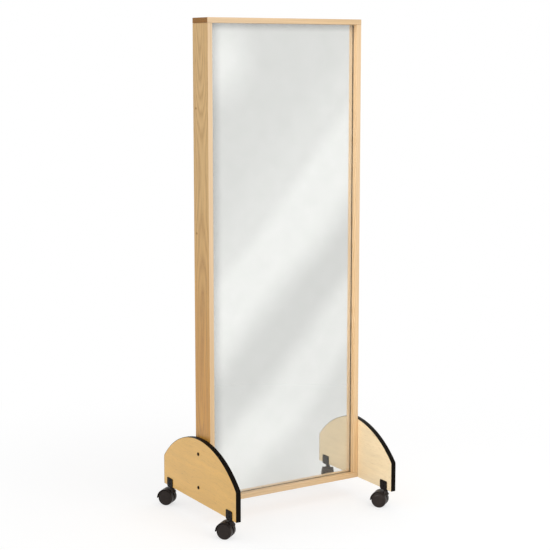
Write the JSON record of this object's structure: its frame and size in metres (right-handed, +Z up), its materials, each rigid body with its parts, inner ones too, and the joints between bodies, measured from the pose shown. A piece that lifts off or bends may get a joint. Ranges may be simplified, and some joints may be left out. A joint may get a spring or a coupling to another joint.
{
  "type": "rolling floor mirror",
  "caption": "Tall full-length mirror in a deep oak frame on two arched foot panels with black T-moulding and swivelling hooded twin-wheel casters.",
  "frame": {"origin": "On the floor, under the middle of the whole part's bounding box with the casters trailing as in the picture. The middle plane of the frame is at X = 14.5 mm and the middle of its depth at Y = -4.3 mm.", "axes": "+Z up. +X to the right of a person who looks into the mirror. The mirror faces -Y."},
  "size_m": [0.698, 0.5206, 1.7065],
  "materials": {
    "frame_wood": "flat-sawn oak boards, clear satin lacquer",
    "foot_panel": "birch-faced panel, clear satin lacquer",
    "mirror_glass": "float glass, silvered and painted on the back, polished edges",
    "hardboard": "tempered hardboard, bare",
    "edge_moulding": "extruded black vinyl T-moulding, satin",
    "black_steel": "pressed steel, black oxide or powder coat",
    "caster_plastic": "moulded black nylon, fine satin texture",
    "plated_steel": "bright zinc plate"
  },
  "bodies": {
    "frame": {"backing_board": "hardboard", "bottom_left_corner_screw": "plated_steel", "bottom_rail": "frame_wood", "bottom_right_corner_screw": "plated_steel", "front_left_bracket": "black_steel", "front_left_lower_rivet": "black_steel", "front_left_stem": "plated_steel", "front_left_upper_rivet": "black_steel", "front_right_bracket": "black_steel", "front_right_lower_rivet": "black_steel", "front_right_stem": "plated_steel", "front_right_upper_rivet": "black_steel", "left_edge_moulding": "edge_moulding", "left_foot_panel": "foot_panel", "left_lower_foot_bolt": "black_steel", "left_lower_foot_nut": "plated_steel", "left_stile": "frame_wood", "left_upper_foot_bolt": "black_steel", "left_upper_foot_nut": "plated_steel", "lower_spreader": "frame_wood", "lower_spreader_screw_left": "plated_steel", "lower_spreader_screw_right": "plated_steel", "mirror_pane": "mirror_glass", "rear_left_bracket": "black_steel", "rear_left_lower_rivet": "black_steel", "rear_left_stem": "plated_steel", "rear_left_upper_rivet": "black_steel", "rear_right_bracket": "black_steel", "rear_right_lower_rivet": "black_steel", "rear_right_stem": "plated_steel", "rear_right_upper_rivet": "black_steel", "right_edge_moulding": "edge_moulding", "right_foot_panel": "foot_panel", "right_lower_foot_bolt": "black_steel", "right_lower_foot_nut": "plated_steel", "right_stile": "frame_wood", "right_upper_foot_bolt": "black_steel", "right_upper_foot_nut": "plated_steel", "top_left_corner_screw": "plated_steel", "top_rail": "frame_wood", "top_right_corner_screw": "plated_steel", "upper_spreader": "frame_wood", "upper_spreader_screw_left": "plated_steel", "upper_spreader_screw_right": "plated_steel"},
    "front_left_caster": {"front_left_caster_hood": "caster_plastic", "front_left_axle": "plated_steel"},
    "front_left_left_wheel": {"front_left_left_wheel": "caster_plastic"},
    "front_left_right_wheel": {"front_left_right_wheel": "caster_plastic"},
    "front_right_caster": {"front_right_caster_hood": "caster_plastic", "front_right_axle": "plated_steel"},
    "front_right_left_wheel": {"front_right_left_wheel": "caster_plastic"},
    "front_right_right_wheel": {"front_right_right_wheel": "caster_plastic"},
    "rear_left_caster": {"rear_left_caster_hood": "caster_plastic", "rear_left_axle": "plated_steel"},
    "rear_left_left_wheel": {"rear_left_left_wheel": "caster_plastic"},
    "rear_left_right_wheel": {"rear_left_right_wheel": "caster_plastic"},
    "rear_right_caster": {"rear_right_caster_hood": "caster_plastic", "rear_right_axle": "plated_steel"},
    "rear_right_left_wheel": {"rear_right_left_wheel": "caster_plastic"},
    "rear_right_right_wheel": {"rear_right_right_wheel": "caster_plastic"}
  },
  "joints": [
    {"name": "front_left_swivel", "type": "hinge", "parent": "frame", "child": "front_left_caster", "pos_m": [-0.29979, -0.21432, 0.0685], "axis": [0, 0, 1], "continuous": true},
    {"name": "front_left_left_wheel_spin", "type": "hinge", "parent": "front_left_caster", "child": "front_left_left_wheel", "pos_m": [-0.31182, -0.19835, 0.02667], "axis": [-0.7986, -0.6018, 0], "continuous": true},
    {"name": "front_left_right_wheel_spin", "type": "hinge", "parent": "front_left_caster", "child": "front_left_right_wheel", "pos_m": [-0.31182, -0.19835, 0.02667], "axis": [-0.7986, -0.6018, 0], "continuous": true},
    {"name": "front_right_swivel", "type": "hinge", "parent": "frame", "child": "front_right_caster", "pos_m": [0.32881, -0.21432, 0.0685], "axis": [0, 0, 1], "continuous": true},
    {"name": "front_right_left_wheel_spin", "type": "hinge", "parent": "front_right_caster", "child": "front_right_left_wheel", "pos_m": [0.31678, -0.19835, 0.02667], "axis": [-0.7986, -0.6018, 0], "continuous": true},
    {"name": "front_right_right_wheel_spin", "type": "hinge", "parent": "front_right_caster", "child": "front_right_right_wheel", "pos_m": [0.31678, -0.19835, 0.02667], "axis": [-0.7986, -0.6018, 0], "continuous": true},
    {"name": "rear_left_swivel", "type": "hinge", "parent": "frame", "child": "rear_left_caster", "pos_m": [-0.29979, 0.20568, 0.0685], "axis": [0, 0, 1], "continuous": true},
    {"name": "rear_left_left_wheel_spin", "type": "hinge", "parent": "rear_left_caster", "child": "rear_left_left_wheel", "pos_m": [-0.31182, 0.22165, 0.02667], "axis": [-0.7986, -0.6018, 0], "continuous": true},
    {"name": "rear_left_right_wheel_spin", "type": "hinge", "parent": "rear_left_caster", "child": "rear_left_right_wheel", "pos_m": [-0.31182, 0.22165, 0.02667], "axis": [-0.7986, -0.6018, 0], "continuous": true},
    {"name": "rear_right_swivel", "type": "hinge", "parent": "frame", "child": "rear_right_caster", "pos_m": [0.32881, 0.20568, 0.0685], "axis": [0, 0, 1], "continuous": true},
    {"name": "rear_right_left_wheel_spin", "type": "hinge", "parent": "rear_right_caster", "child": "rear_right_left_wheel", "pos_m": [0.31678, 0.22165, 0.02667], "axis": [-0.7986, -0.6018, 0], "continuous": true},
    {"name": "rear_right_right_wheel_spin", "type": "hinge", "parent": "rear_right_caster", "child": "rear_right_right_wheel", "pos_m": [0.31678, 0.22165, 0.02667], "axis": [-0.7986, -0.6018, 0], "continuous": true}
  ]
}
